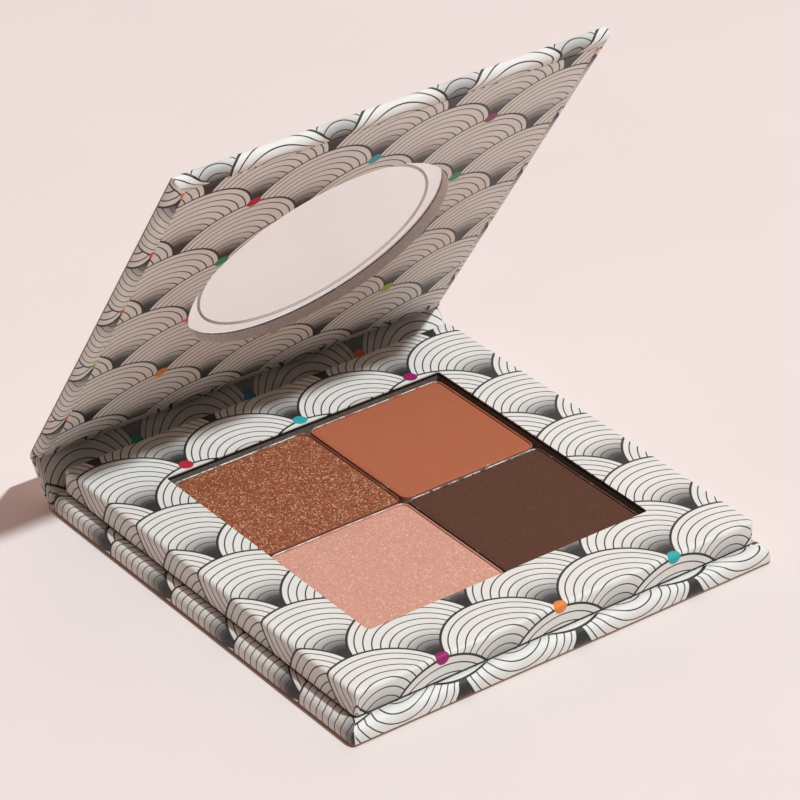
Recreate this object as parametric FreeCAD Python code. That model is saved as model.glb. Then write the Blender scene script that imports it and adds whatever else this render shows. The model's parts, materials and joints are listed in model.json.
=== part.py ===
import FreeCAD, Part
import os

# A book-style cardboard palette: a base board that carries a tray with four lift-out pans, a spine
# and a lid with a round window, all wrapped in paper that folds along two lines.
# Sizes are in millimetres, angles in degrees. X runs along the folds, the opening side faces -Y and
# Z points up from the surface that the base lies on. The origin is the centre of the closed palette's
# footprint. The case is modelled closed, then opened at its folds.

# Pans and pressed powders
pan_size = 26.0
pan_height = 3.05
pan_wall = 0.3
pan_corner_radius = 1.5
pan_base_ease = 0.7
powder_drop = 0.12
powder_edge_ease = 0.3

# Well: the pans stand against its front left corner, with a little play at the back and the right
pan_gap = 0.36
seat_gap = 0.15
well_play = 0.89
well_corner_radius = 0.5
pan_recess = 0.7
magnet_sheet_thickness = 0.5
magnet_sheet_clearance = 0.3

# Tray
side_bar = 10.9
end_bar = 11.7
tray_corner_radius = 0.8
tray_edge_radius = 0.7

# Case
paper = 0.2
side_ledge = 2.0
front_ledge = 2.1
spine_clearance = 0.75
base_board_thickness = 2.7
spine_board_thickness = 1.6
lid_board_thickness = 1.6
lid_liner_thickness = 0.3
liner_inset = 2.2
case_corner_radius = 0.6
outer_edge_radius = 0.4
inner_edge_radius = 1.8
spine_edge_radius = 0.7
closed_gap = 0.2

# Folds
fold_radius = 1.2
fold_clearance = 0.3
spine_open_angle = 34.0
lid_open_angle = 22.7
right_angle = 90.0

# Lid window
window_radius = 23.2
film_overlap = 4.0
film_thickness = 0.25
film_clearance = 0.1

# Closure magnets
magnet_radius = 4.0
tray_magnet_thickness = 1.5
lid_magnet_thickness = 1.0
magnet_clearance = 0.05
magnet_spacing = 44.0

# A panel's roundings and a spine's take at most these shares of the wall that they are on
outer_rounding_share = 0.2
inner_rounding_share = 0.7
spine_rounding_share = 0.45

# A chamfer with this share of a radius as its leg touches the rounding of that radius
easing_share = 2 - 2**0.5

# Lengths closer than this are the same
tolerance = 1e-4

# Heights above the surface
base_thickness = paper + base_board_thickness + paper
well_floor = base_thickness + paper
pan_bottom = well_floor + magnet_sheet_thickness
pan_top = pan_bottom + pan_height
tray_top = pan_top + pan_recess
lid_thickness = paper + lid_board_thickness + lid_liner_thickness
closed_height = tray_top + closed_gap + lid_thickness

# Plan sizes and places
well_size = seat_gap + pan_size + pan_gap + pan_size + well_play
lined_well_size = well_size + 2 * paper
tray_width = lined_well_size + 2 * side_bar + 2 * paper
tray_depth = lined_well_size + 2 * end_bar + 2 * paper
spine_thickness = paper + spine_board_thickness + paper
case_width = tray_width + 2 * side_ledge
case_depth = front_ledge + tray_depth + spine_clearance + spine_thickness
case_front = -case_depth / 2
case_back = case_depth / 2
tray_front = case_front + front_ledge
tray_back = tray_front + tray_depth
well_centre_y = (tray_front + tray_back) / 2
board_end = case_back - spine_thickness - fold_clearance - paper
magnet_y = tray_front + paper + end_bar / 2

# Fold axes of the closed case, and the direction in which a positive turn opens it
fold_y = case_back - fold_radius
base_fold_axis = FreeCAD.Vector(0, fold_y, fold_radius)
lid_fold_axis = FreeCAD.Vector(0, fold_y, closed_height - fold_radius)
along_folds = FreeCAD.Vector(1, 0, 0)
opening_turn = FreeCAD.Vector(-1, 0, 0)
upwards = FreeCAD.Vector(0, 0, 1)


def box(x_range, y_range, z_range):
    """A box given by its lowest and highest place along each axis."""
    low, high = zip(x_range, y_range, z_range)
    sizes = [b - a for a, b in zip(low, high)]
    return Part.makeBox(*sizes, FreeCAD.Vector(*low))


def extruded(outline, x_range):
    """A closed outline of (y, z) points carried along X."""
    points = [FreeCAD.Vector(x_range[0], y, z) for y, z in outline]
    face = Part.Face(Part.makePolygon(points + points[:1]))
    return face.extrude(FreeCAD.Vector(x_range[1] - x_range[0], 0, 0))


def upright_edges(solid):
    """The straight edges along Z."""
    flat = [e for e in solid.Edges if e.BoundBox.XLength < tolerance and e.BoundBox.YLength < tolerance]
    return [e for e in flat if e.BoundBox.ZLength > tolerance]


def level_edges(solid, z):
    """The edges that lie wholly at one height."""
    spans = [(e, e.BoundBox.ZMin - z, e.BoundBox.ZMax - z) for e in solid.Edges]
    return [e for e, low, high in spans if max(abs(low), abs(high)) < tolerance]


def rounded_block(centre, sizes, z_range, corner):
    """A block with upright corners rounded in plan."""
    (x, y), (width, depth) = centre, sizes
    block = box((x - width / 2, x + width / 2), (y - depth / 2, y + depth / 2), z_range)
    return block.makeFillet(corner, upright_edges(block))


def panel_block(inset, z_range, eased):
    """A case panel with rounded front corners, inset from the paper's outside.

    Each run of free edges is eased on a block of its own, so that the runs meet in mitres.
    """
    half_width = case_width / 2 - inset
    front = case_front + inset
    plain = box((-half_width, half_width), (front, board_end), z_range)
    corners = [e for e in upright_edges(plain) if e.BoundBox.YMax < front + tolerance]
    panel = plain.makeFillet(case_corner_radius - inset, corners)
    for z in z_range:
        edges = level_edges(plain, z)
        side_run = [e for e in edges if e.BoundBox.XLength < tolerance]
        front_run = [e for e in edges if e.BoundBox.YMax < front + tolerance]
        panel = panel.common(eased(plain, side_run, z)).common(eased(plain, front_run, z))
    return panel


def panel_roundings(board_top):
    """The radii along a wrapped panel's outer and inner free edges."""
    thickness = board_top + paper
    outer = min(outer_edge_radius, outer_rounding_share * thickness)
    return outer, min(inner_edge_radius, inner_rounding_share * thickness)


def wrapped_panel(board_top):
    """The outside of a wrapped panel, crisp along its outer free edges and soft along the inner ones."""
    outer, inner = panel_roundings(board_top)
    radii = {0: outer, board_top + paper: inner}
    return panel_block(0, tuple(radii), lambda block, run, z: block.makeFillet(radii[z], run))


def board_panel(board_top):
    """The board in a wrapped panel, eased along its free edges so that the paper bends round them."""
    outer, inner = panel_roundings(board_top)
    legs = {paper: (outer - paper) * easing_share, board_top: (inner - paper) * easing_share}
    return panel_block(paper, tuple(legs), lambda block, run, z: block.makeChamfer(legs[z], run))


def panel_liner(board_top, thickness):
    """Inner paper: over the board, down its back edge and along the wrap to the fold."""
    half_width = case_width / 2 - liner_inset
    outline = [
        (case_front + liner_inset, board_top),
        (case_front + liner_inset, board_top + thickness),
        (board_end + paper, board_top + thickness),
        (board_end + paper, 2 * paper),
        (fold_y, 2 * paper),
        (fold_y, paper),
        (board_end, paper),
        (board_end, board_top),
    ]
    return extruded(outline, (-half_width, half_width))


def fold_tail(board_top, x_range):
    """The wrap's turned-in end at the fold: down the board's back edge and along the wrap."""
    outline = [
        (board_end, paper),
        (board_end, board_top + paper),
        (board_end + paper, board_top + paper),
        (board_end + paper, 2 * paper),
        (fold_y, 2 * paper),
        (fold_y, paper),
    ]
    return extruded(outline, x_range)


def panel_wrap(board, liner, board_top):
    """Printed paper round a board's outside and free edges, turned in up to the liner."""
    half_width = case_width / 2
    sleeve = wrapped_panel(board_top).cut(board).cut(liner)
    apron = box((-half_width, half_width), (board_end, fold_y), (0, paper))
    left_tail = fold_tail(board_top, (-half_width, liner_inset - half_width))
    right_tail = fold_tail(board_top, (half_width - liner_inset, half_width))
    return sleeve.fuse([apron, left_tail, right_tail]).removeSplitter()


def case_panel(board_thickness, liner_thickness):
    """A wrapped board lying with its outer paper on the surface: board, wrap and liner."""
    board_top = paper + board_thickness
    board = board_panel(board_top)
    liner = panel_liner(board_top, liner_thickness)
    return board, panel_wrap(board, liner, board_top), liner


def magnet_discs(bottom, thickness, clearance):
    """The two closure magnets, or with a clearance the pockets that hold them."""
    places = [FreeCAD.Vector(side * magnet_spacing / 2, magnet_y, bottom) for side in (-1, 1)]
    return [Part.makeCylinder(magnet_radius + clearance, thickness, place) for place in places]


def window_disc(radius, z_range):
    """A disc on the window's axis."""
    centre = FreeCAD.Vector(0, well_centre_y, z_range[0])
    return Part.makeCylinder(radius, z_range[1] - z_range[0], centre)


def base_pieces():
    """The base board with its wrap and liner."""
    board, wrap, liner = case_panel(base_board_thickness, paper)
    return {"base_board": board, "base_wrap": wrap, "base_liner": liner}


def lid_pieces():
    """The lid, made like the base with a window, and turned over on top of the closed case."""
    board, wrap, liner = case_panel(lid_board_thickness, lid_liner_thickness)
    board_top = paper + lid_board_thickness
    magnet_bottom = board_top - lid_magnet_thickness
    film_z = (paper, paper + film_thickness)
    hole = window_disc(window_radius, (0, lid_thickness))
    rebate = window_disc(window_radius + film_overlap + film_clearance, film_z)
    pockets = magnet_discs(magnet_bottom, lid_magnet_thickness, magnet_clearance)
    magnets = magnet_discs(magnet_bottom, lid_magnet_thickness, 0)
    flat = {
        "lid_board": board.cut([hole, rebate] + pockets),
        "lid_wrap": wrap.cut(hole),
        "lid_liner": liner.cut(hole),
        "window_film": window_disc(window_radius + film_overlap, film_z),
        "lid_magnets": Part.makeCompound(magnets),
    }
    middle = FreeCAD.Vector(0, 0, closed_height / 2)
    return {name: shape.mirror(middle, upwards) for name, shape in flat.items()}


def spine_block(inset, z_inset):
    """The closed spine's block, inset from the paper's outside, with its end edges rounded."""
    half_width = case_width / 2 - inset
    y_range = (case_back - spine_thickness + inset, case_back - inset)
    z_range = (fold_radius + z_inset, closed_height - fold_radius - z_inset)
    block = box((-half_width, half_width), y_range, z_range)
    rounding = min(spine_edge_radius - inset, spine_rounding_share * (y_range[1] - y_range[0]))
    return block.makeFillet(rounding, upright_edges(block))


def spine_pieces():
    """The spine board, its liner, which laps both ends of the board, and its wrap."""
    board = spine_block(paper, paper)
    inner = case_back - spine_thickness
    outer = case_back - paper
    low = fold_radius
    high = closed_height - fold_radius
    outline = [
        (inner, low),
        (inner, high),
        (outer, high),
        (outer, high - paper),
        (inner + paper, high - paper),
        (inner + paper, low + paper),
        (outer, low + paper),
        (outer, low),
    ]
    half_width = case_width / 2 - liner_inset
    liner = extruded(outline, (-half_width, half_width))
    wrap = spine_block(0, 0).cut(board).cut(liner)
    return {"spine_board": board, "spine_wrap": wrap, "spine_liner": liner}


def bent_strip(start, end, axis, open_angle):
    """Wrap and liner pasted together and bent round a fold axis: the section's ends are (y, z) points."""
    half_width = case_width / 2
    corners = [(-half_width, start), (half_width, start), (half_width, end), (-half_width, end)]
    points = [FreeCAD.Vector(x, *place) for x, place in corners]
    face = Part.Face(Part.makePolygon(points + points[:1]))
    return face.revolve(axis, along_folds, right_angle - open_angle)


def base_fold_piece():
    """The fold between base and spine, bent as far as the opened spine leaves it."""
    return bent_strip((fold_y, 0), (fold_y, 2 * paper), base_fold_axis, spine_open_angle)


def lid_fold_piece():
    """The fold between spine and lid, on the closed spine, bent as far as the opened lid leaves it."""
    height = lid_fold_axis.z
    inner = case_back - 2 * paper
    return bent_strip((inner, height), (case_back, height), lid_fold_axis, lid_open_angle)


def tray_block(inset):
    """The tray's block with rounded corners, inset from the paper's outside, and its top edges."""
    top = tray_top - inset
    sizes = (tray_width - 2 * inset, tray_depth - 2 * inset)
    block = rounded_block((0, well_centre_y), sizes, (base_thickness, top), tray_corner_radius - inset)
    return block, level_edges(block, top)


def wrapped_tray():
    """The outside of the wrapped tray, rounded along its top edge."""
    block, top_edges = tray_block(0)
    return block.makeFillet(tray_edge_radius, top_edges)


def tray_core():
    """The board in the tray, eased along its top edge so that the paper bends round it."""
    block, top_edges = tray_block(paper)
    return block.makeChamfer((tray_edge_radius - paper) * easing_share, top_edges)


def well_block(inset, bottom):
    """The well's space, inset from the frame's window, from a height to the tray's top."""
    size = lined_well_size - 2 * inset
    corner = well_corner_radius + paper - inset
    return rounded_block((0, well_centre_y), (size, size), (bottom, tray_top), corner)


def tray_pieces():
    """The tray: a board frame in a paper wrap, a black liner in its well, magnets and a magnetic floor."""
    frame_top = tray_top - paper
    window = well_block(0, base_thickness)
    core = tray_core()
    magnet_bottom = frame_top - tray_magnet_thickness
    pockets = magnet_discs(magnet_bottom, tray_magnet_thickness, magnet_clearance)
    sheet_size = well_size - 2 * magnet_sheet_clearance
    sheet = rounded_block(
        (0, well_centre_y), (sheet_size, sheet_size), (well_floor, pan_bottom), well_corner_radius
    )
    return {
        "tray_frame": core.cut([window] + pockets),
        "tray_wrap": wrapped_tray().cut(core).cut(window),
        "well_liner": window.cut(well_block(paper, well_floor)),
        "magnet_sheet": sheet,
        "tray_magnets": Part.makeCompound(magnet_discs(magnet_bottom, tray_magnet_thickness, 0)),
    }


def pan_block(centre, inset, top):
    """A pan's outside or, inset by its wall, the space in it: rounded corners and an eased base edge."""
    size = pan_size - 2 * inset
    bottom = pan_bottom + inset
    block = rounded_block(centre, (size, size), (bottom, top), pan_corner_radius - inset)
    return block.makeChamfer(pan_base_ease - inset * easing_share, level_edges(block, bottom))


def pan(centre):
    """A drawn tin pan with an even wall."""
    return pan_block(centre, 0, pan_top).cut(pan_block(centre, pan_wall, pan_top))


def powder(centre):
    """Powder pressed into a pan, with its top edge eased away from the rim."""
    top = pan_top - powder_drop
    cake = pan_block(centre, pan_wall, top)
    return cake.makeChamfer(powder_edge_ease, level_edges(cake, top))


def pan_pieces():
    """Four pans, each with its pressed powder, in two rows of two from the well's front left corner."""
    first_x = seat_gap + pan_size / 2 - well_size / 2
    first_y = well_centre_y + first_x
    pitch = pan_size + pan_gap
    rows = [("rose", "brown"), ("bronze", "terracotta")]
    pieces = {}
    for row, shades in enumerate(rows):
        for column, shade in enumerate(shades):
            centre = (first_x + column * pitch, first_y + row * pitch)
            pieces[shade + "_pan"] = pan(centre)
            pieces[shade + "_powder"] = powder(centre)
    return pieces


def opened_spine(shape):
    """A piece of the closed spine or lid, turned back with the spine."""
    return shape.rotated(base_fold_axis, opening_turn, spine_open_angle)


def opened_lid(shape):
    """A piece of the closed lid, opened at both folds."""
    return opened_spine(shape.rotated(lid_fold_axis, opening_turn, lid_open_angle))


def all_pieces():
    """Every piece of the palette in its open pose, by name."""
    pieces = {}
    pieces.update(base_pieces())
    pieces.update(tray_pieces())
    pieces.update(pan_pieces())
    pieces["base_fold"] = base_fold_piece()
    pieces["lid_fold"] = opened_spine(lid_fold_piece())
    pieces.update({name: opened_spine(shape) for name, shape in spine_pieces().items()})
    pieces.update({name: opened_lid(shape) for name, shape in lid_pieces().items()})
    return pieces


os.makedirs("parts", exist_ok=True)
for piece_name, piece in all_pieces().items():
    piece.exportStep(os.path.join("parts", piece_name + ".step"))
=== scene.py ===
import json
import math

import bmesh
import bpy
import numpy as np
from bpy.props import FloatProperty, FloatVectorProperty, IntProperty, PointerProperty
from mathutils import Matrix, Vector


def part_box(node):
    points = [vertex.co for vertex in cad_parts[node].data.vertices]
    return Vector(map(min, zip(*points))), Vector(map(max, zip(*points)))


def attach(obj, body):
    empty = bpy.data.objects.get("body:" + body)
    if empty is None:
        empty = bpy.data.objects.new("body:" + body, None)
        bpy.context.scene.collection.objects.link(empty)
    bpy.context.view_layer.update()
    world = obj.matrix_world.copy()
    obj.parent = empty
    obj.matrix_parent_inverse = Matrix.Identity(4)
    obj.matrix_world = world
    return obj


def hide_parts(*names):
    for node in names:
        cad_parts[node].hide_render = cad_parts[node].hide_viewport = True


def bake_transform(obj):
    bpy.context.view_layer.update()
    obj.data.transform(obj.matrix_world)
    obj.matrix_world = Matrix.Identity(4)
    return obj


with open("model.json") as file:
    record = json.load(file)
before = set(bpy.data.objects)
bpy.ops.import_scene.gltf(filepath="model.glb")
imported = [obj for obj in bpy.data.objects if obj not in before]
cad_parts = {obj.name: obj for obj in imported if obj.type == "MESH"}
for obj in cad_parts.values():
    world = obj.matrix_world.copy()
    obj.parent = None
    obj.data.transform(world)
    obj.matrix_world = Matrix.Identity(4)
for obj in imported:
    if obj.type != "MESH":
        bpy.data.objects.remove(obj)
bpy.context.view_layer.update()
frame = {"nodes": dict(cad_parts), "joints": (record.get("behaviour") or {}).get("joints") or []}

bl_info = {
    "name": "Cardboard Shadow Palette",
    "version": (1, 0, 0),
    "blender": (4, 5, 0),
    "location": "View3D > Sidebar > Palette",
    "description": (
        "Dresses a book-style cardboard palette: printed paper, tin pans and pressed powders"
    ),
    "category": "Object",
}

# Lengths in the file are metres; sizes below are written in millimetres
mm = 0.001

# One unit of a paper's UV map is this length along the paper
uv_length = 0.1

# Points along each quarter circle and each straight side of an outline, along a rounded edge, and
# round the film and the window's cut edge
corner_steps = 8
side_steps = 40
arc_steps = 6
film_steps = 240
cut_steps = 540

# Corners in plan are never sharper than this, and points nearer than the weld become one
sharpest = 0.02 * mm
weld = 1e-7

# Wear of paper painted with a shade colour in the tray's foot groove; 1 is rubbed to its fibres
groove_shade_wear = 2.0

# First seeds of the pans' dents and of the powders' relief
pan_seed = 20
cake_seed = 40

shades = ("rose", "brown", "bronze", "terracotta")

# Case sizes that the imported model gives
joints = {joint["name"]: joint for joint in frame["joints"]}
base_axis = np.array(joints["spine_fold"]["pos_m"])
lid_axis_open = np.array(joints["lid_fold_hinge"]["pos_m"])
spine_open = math.radians(-joints["spine_fold"]["range_deg"][0])
lid_open = math.radians(-joints["lid_fold_hinge"]["range_deg"][0])
fold_radius = base_axis[2]
spine_height = float(np.linalg.norm(lid_axis_open - base_axis))
lid_axis = base_axis + np.array([0, 0, spine_height])
closed_height = spine_height + 2 * fold_radius
panel_low, panel_high = np.array(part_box("base_wrap"))
board_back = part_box("base_board")[1][1]
tray_low, tray_high = np.array(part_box("tray_wrap"))
well_low, well_high = np.array(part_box("well_liner"))
well_centre = (well_low + well_high)[:2] / 2


def length(name, description, value):
    """A length property with a default in millimetres."""
    return FloatProperty(
        name=name, description=description, default=value * mm, unit="LENGTH", precision=5
    )


def colour(name, description, value):
    """A colour property in linear light."""
    return FloatVectorProperty(
        name=name, description=description, default=value, subtype="COLOR", min=0, max=1
    )


def angle(name, description, degrees):
    """An angle property with a default in degrees."""
    default = math.radians(degrees)
    return FloatProperty(name=name, description=description, default=default, subtype="ANGLE")


def heading(name, description, value):
    """A direction property."""
    return FloatVectorProperty(
        name=name, description=description, default=value, subtype="DIRECTION"
    )


class PaperSettings(bpy.types.PropertyGroup):
    """Printed paper: its gauge and the scale pattern on it."""

    paper: length("Paper", "Thickness of the printed paper", 0.2)
    scale_width: length("Scale width", "Width of one scale of the print", 22.0)
    line_width: length("Line width", "Width of the arcs in a scale", 0.21)
    rim_width: length("Rim width", "Width of a scale's outline", 0.42)
    dot_radius: length("Dot radius", "Radius of the coloured dots", 1.2)
    arcs: IntProperty(name="Arcs", description="Arcs in each scale", default=11, min=1)
    sheet_colour: colour("Sheet", "Colour of the unprinted paper", (0.86, 0.80, 0.735))
    ink_colour: colour("Ink", "Colour of the printed lines", (0.024, 0.022, 0.022))
    worn_colour: colour("Worn edge", "Colour of the fibres on a rubbed edge", (0.34, 0.15, 0.07))
    # Painted shade: a dark colour laid into the groove along the tray's foot
    groove_shade_colour: colour("Soil", "Colour of the dust along the tray's foot", (0.05, 0.035, 0.026))


class CaseSettings(bpy.types.PropertyGroup):
    """Wrapped boards of the base, the spine and the lid."""

    outer_radius: length("Outer edge", "Rounding along the panels' outer free edges", 0.4)
    base_inner_radius: length("Base inner edge", "Rounding along the base's inner free edges", 1.8)
    lid_inner_radius: length("Lid inner edge", "Rounding along the lid's inner free edges", 1.4)
    corner_radius: length("Corner radius", "Rounding of the panels' corners in plan", 0.6)
    back_radius: length("Back edge", "Rounding along the panels' edges next to the folds", 0.25)
    back_cover: length("Back cover", "Thickness of the paper over the boards' back edges", 0.2)
    lid_wrap_height: length("Lid wrap height", "Height of the lid over its two papers", 2.0)
    lid_height: length("Lid height", "Height of the lid over its paper and its inner card", 2.1)
    lining: length("Lining", "Thickness of the card inside the lid", 0.3)
    lining_inset: length("Lining inset", "Distance from a panel's edge to its inner sheet", 2.2)
    lining_ease: length("Lining ease", "Bevel along the edge of the lid's card", 0.06)
    spine_thickness: length("Spine", "Thickness of the wrapped spine", 2.0)
    spine_radius: length("Spine edge radius", "Rounding of the spine's end edges", 0.7)
    spine_cap: length("Spine cap", "Distance from the spine's outline to the flat of its ends", 0.4)
    spine_shift: length("Spine print", "Shift of the print on the spine's inner side", -2.0)
    fold_end: length("Fold end", "Distance from the case's side to a fold's paper", 0.03)
    hem: length("Hem", "Width of the turned-in paper at a fold's ends", 2.2)
    unevenness: length("Unevenness", "How far the wrapped edges wander inwards", 0.05)


class TraySettings(bpy.types.PropertyGroup):
    """Wrapped tray with its well."""

    edge_radius: length("Edge radius", "Rounding along the tray's top edge", 0.7)
    corner_radius: length("Corner radius", "Rounding of the tray's corners in plan", 0.8)
    groove_height: length("Groove height", "Height of the groove along the tray's foot", 0.5)
    groove_depth: length("Groove depth", "Depth of the groove along the tray's foot", 0.17)
    groove_ease: length("Groove ease", "Height over which the paper turns into the groove", 0.02)
    well_corner_radius: length("Well corner", "Rounding of the well's corners in plan", 0.7)
    black_depth: length("Black depth", "Height of the black band on top of the well's wall", 0.7)


class WindowSettings(bpy.types.PropertyGroup):
    """Round window in the lid, closed by clear film."""

    radius: length("Radius", "Radius of the window", 23.2)
    film_radius: length("Film radius", "Radius of the film's disc", 27.2)
    film: length("Film", "Thickness of the film", 0.25)
    swell: length("Swell", "How far the film swells inside the window", 0.05)
    fibre: length("Fibre", "How far fibres stand out from the cut board", 0.14)
    seat: length("Seat", "How far the ring of fibres is sunk into the board", 0.02)
    ring_radius: length("Ring radius", "Radius of the plain ring on the film", 20.4)
    ring_width: length("Ring width", "Width of the plain ring on the film", 0.42)
    veil: FloatProperty(
        name="Veil", description="Share of the view that is veiled", default=0.15, subtype="FACTOR"
    )
    film_colour: colour("Film colour", "Colour of the film's veil", (0.94, 0.92, 0.91))
    ring_colour: colour("Ring colour", "Colour of the plain ring", (0.30, 0.265, 0.25))


class PanSettings(bpy.types.PropertyGroup):
    """Drawn tin pans."""

    wall: length("Wall", "Thickness of the tin", 0.3)
    corner_radius: length("Corner radius", "Rounding of the pan's corners in plan", 1.5)
    base_radius: length("Base radius", "Rounding along the pan's base", 0.7)
    dents: length("Dents", "How far the rim wanders", 0.03)
    tin_colour: colour("Tin", "Colour of the bare metal", (0.74, 0.71, 0.67))


class PowderSettings(bpy.types.PropertyGroup):
    """Pressed powders."""

    shoulder: length("Shoulder", "Width of the rounded edge of the powder", 0.7)
    shoulder_drop: length("Shoulder drop", "Height of the rounded edge of the powder", 0.22)
    relief: length("Relief", "Unevenness of the pressed surface", 0.03)
    fit: length("Fit", "Gap between a powder and its pan", 0.01)
    rose: colour("Rose", "Colour of the rose powder", (0.66, 0.312, 0.228))
    brown: colour("Brown", "Colour of the brown powder", (0.100, 0.0375, 0.021))
    bronze: colour("Bronze", "Colour of the bronze powder", (0.235, 0.062, 0.026))
    terracotta: colour("Terracotta", "Colour of the terracotta powder", (0.445, 0.128, 0.0586))


class StageSettings(bpy.types.PropertyGroup):
    """Floor, light and camera."""

    azimuth: angle("Azimuth", "Camera's turn", -36.318)
    elevation: angle("Elevation", "Camera's rise", 31.022)
    roll: angle("Roll", "Camera's tilt", -0.739)
    distance: length("Distance", "Camera's distance from its target", 669.917)
    target: FloatVectorProperty(
        name="Target",
        description="Point that the camera looks at",
        default=(0.017139, 0.023966, 0.006754),
        unit="LENGTH",
    )
    focal_length: FloatProperty(
        name="Focal length", description="Lens in millimetres", default=186.74
    )
    floor_reach: length("Floor reach", "Distance from the middle to the floor's edges", 3000)
    floor_gap: length("Floor gap", "Distance from the object down to the floor", 0.02)
    floor_colour: colour("Floor", "Colour of the floor", (0.86, 0.742, 0.69))
    fill_colour: colour("Fill", "Colour of the light from the bright side", (0.756, 0.556, 0.512))
    dim_colour: colour("Dim", "Colour of the light from the dim side", (0.005, 0.003, 0.0025))
    fill_direction: heading("Fill direction", "Direction of the bright side", (0.35, 0.75, 0.9))
    key_power: FloatProperty(
        name="Key power", description="Power of the main lamp", default=83.5, unit="POWER"
    )
    key_colour: colour("Key colour", "Colour of the main lamp", (0.825, 0.94, 1.0))
    key_distance: length("Key distance", "Distance of the main lamp", 3000)
    key_size: length("Key size", "Diameter of the main lamp", 130)
    key_direction: heading("Key direction", "Direction of the main lamp", (0.22, -0.50, 1.0))


# Shapes


def outline(low, high, corner, inset=0.0):
    """Rounded rectangle in plan, moved inwards by an inset.

    Each quarter circle is its centre plus the radius times (cos a, sin a), and straight runs
    share out the way to the next one. An inset past the corner's radius leaves a mitred corner.
    Gives the points and the outward normals, anticlockwise.
    """
    radius = max(corner - inset, sharpest)
    reach = inset + radius
    first = np.pi + np.arange(4)[:, None] * np.pi / 2
    angles = first + np.linspace(0, np.pi / 2, corner_steps + 1)
    normals = np.stack([np.cos(angles), np.sin(angles)], -1)
    x0, y0, x1, y1 = low[0] + reach, low[1] + reach, high[0] - reach, high[1] - reach
    centres = np.array([[x0, y0], [x1, y0], [x1, y1], [x0, y1]])
    arcs = centres[:, None] + radius * normals
    ends, starts = arcs[:, -1], np.roll(arcs[:, 0], -1, axis=0)
    share = np.linspace(0, 1, side_steps + 1)[1:-1, None]
    runs = ends[:, None] + share * (starts - ends)[:, None]
    run_normals = np.repeat(normals[:, -1:], side_steps - 1, axis=1)
    points = np.concatenate([arcs, runs], axis=1).reshape(-1, 2)
    return points, np.concatenate([normals, run_normals], axis=1).reshape(-1, 2)


def circle_towards(centre, radius, points):
    """Circle whose points lie in the directions of an outline's points, as seen from its centre."""
    away = points - centre
    return centre + radius * away / np.linalg.norm(away, axis=1, keepdims=True)


def spokes(count):
    """Unit vectors all round, and their angles."""
    turn = np.linspace(0, 2 * np.pi, count, endpoint=False)
    return np.column_stack([np.cos(turn), np.sin(turn)]), turn


def wander(count, seed, waves=(2, 5, 9, 14)):
    """A smooth closed run of numbers from 0 to 1: a sum of sines with whole waves all round."""
    phases = np.random.RandomState(seed).uniform(0, 2 * np.pi, len(waves))
    _, turn = spokes(count)
    sines = [np.sin(wave * turn + phase) / wave**0.5 for wave, phase in zip(waves, phases)]
    run = np.sum(sines, axis=0)
    return (run - run.min()) / np.ptp(run)


def raised(points, height):
    """Plan points at a height, or at a height for each point."""
    return np.column_stack([points, np.broadcast_to(height, len(points))])


def middle_of(loop):
    """A loop that has shrunk to its own middle, which closes a surface."""
    return np.broadcast_to(loop.mean(0), loop.shape)


def plans(loops):
    """Loops as they lie in plan."""
    return [loop[:, :2] for loop in loops]


def flats(inner, outer, height, shares):
    """Loops that go straight from an inner outline to an outer one at one height."""
    return [raised(inner + share * (outer - inner), height) for share in shares]


def quarter(start, stop, falling):
    """Quarter of an ellipse between two (inset, height) places that starts level or upright."""
    turn = np.linspace(0, np.pi / 2, arc_steps + 1)[:, None]
    level, upright = np.sin(turn), 1 - np.cos(turn)
    weights = np.hstack([level, upright] if falling else [upright, level])
    return np.array(start) + weights * (np.array(stop) - np.array(start))


def wrapped_profile(outer, inner, height, end, gauge):
    """Section of paper round a board's edge: rows of (inset, height) of its outer and inner skins.

    It leaves the outer face at height 0, rounds the edge by two quarter circles and ends on the
    inner face at an inset; the inner skin runs back at the paper's thickness.
    """

    def skin(offset):
        low, high = offset, height - offset
        lower = quarter((outer, low), (offset, outer), True)
        upper = quarter((offset, height - inner), (inner, high), False)
        side = np.linspace(lower[-1], upper[0], 4)[1:-1]
        return np.concatenate([lower, side, upper, [[(inner + end) / 2, high], [end, high]]])

    return skin(0.0), skin(gauge)[::-1]


def along(profile):
    """Distance along a section's rows."""
    steps = np.linalg.norm(np.diff(profile, axis=0), axis=1)
    return np.concatenate([[0], np.cumsum(steps)])


def turned(points, axis, turn):
    """Points turned about a line along X by an angle that opens the case."""
    y, z = points[..., 1] - axis[1], points[..., 2] - axis[2]
    cos, sin = math.cos(turn), math.sin(turn)
    places = [points[..., 0], axis[1] + y * cos + z * sin, axis[2] - y * sin + z * cos]
    return np.stack(places, -1)


def opened_spine(points):
    """Places of the closed spine or lid, turned back with the spine."""
    return turned(points, base_axis, spine_open)


def opened_lid(points):
    """Places of a lid on its outer face, turned over, laid on the closed case and opened."""
    over = points * np.array([1, 1, -1]) + np.array([0, 0, closed_height])
    return opened_spine(turned(over, lid_axis, lid_open))


def grid_faces(rows, columns, closed, ring):
    """Faces of a grid of loops: closed joins each loop's ends, ring joins last and first loop."""
    row = np.arange(rows if ring else rows - 1)[:, None]
    column = np.arange(columns if closed else columns - 1)[None]
    after_row, after_column = (row + 1) % rows, (column + 1) % columns
    corners = [row * columns + column, row * columns + after_column]
    corners += [after_row * columns + after_column, after_row * columns + column]
    return np.stack(np.broadcast_arrays(*corners), -1).reshape(-1, 4)


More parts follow.
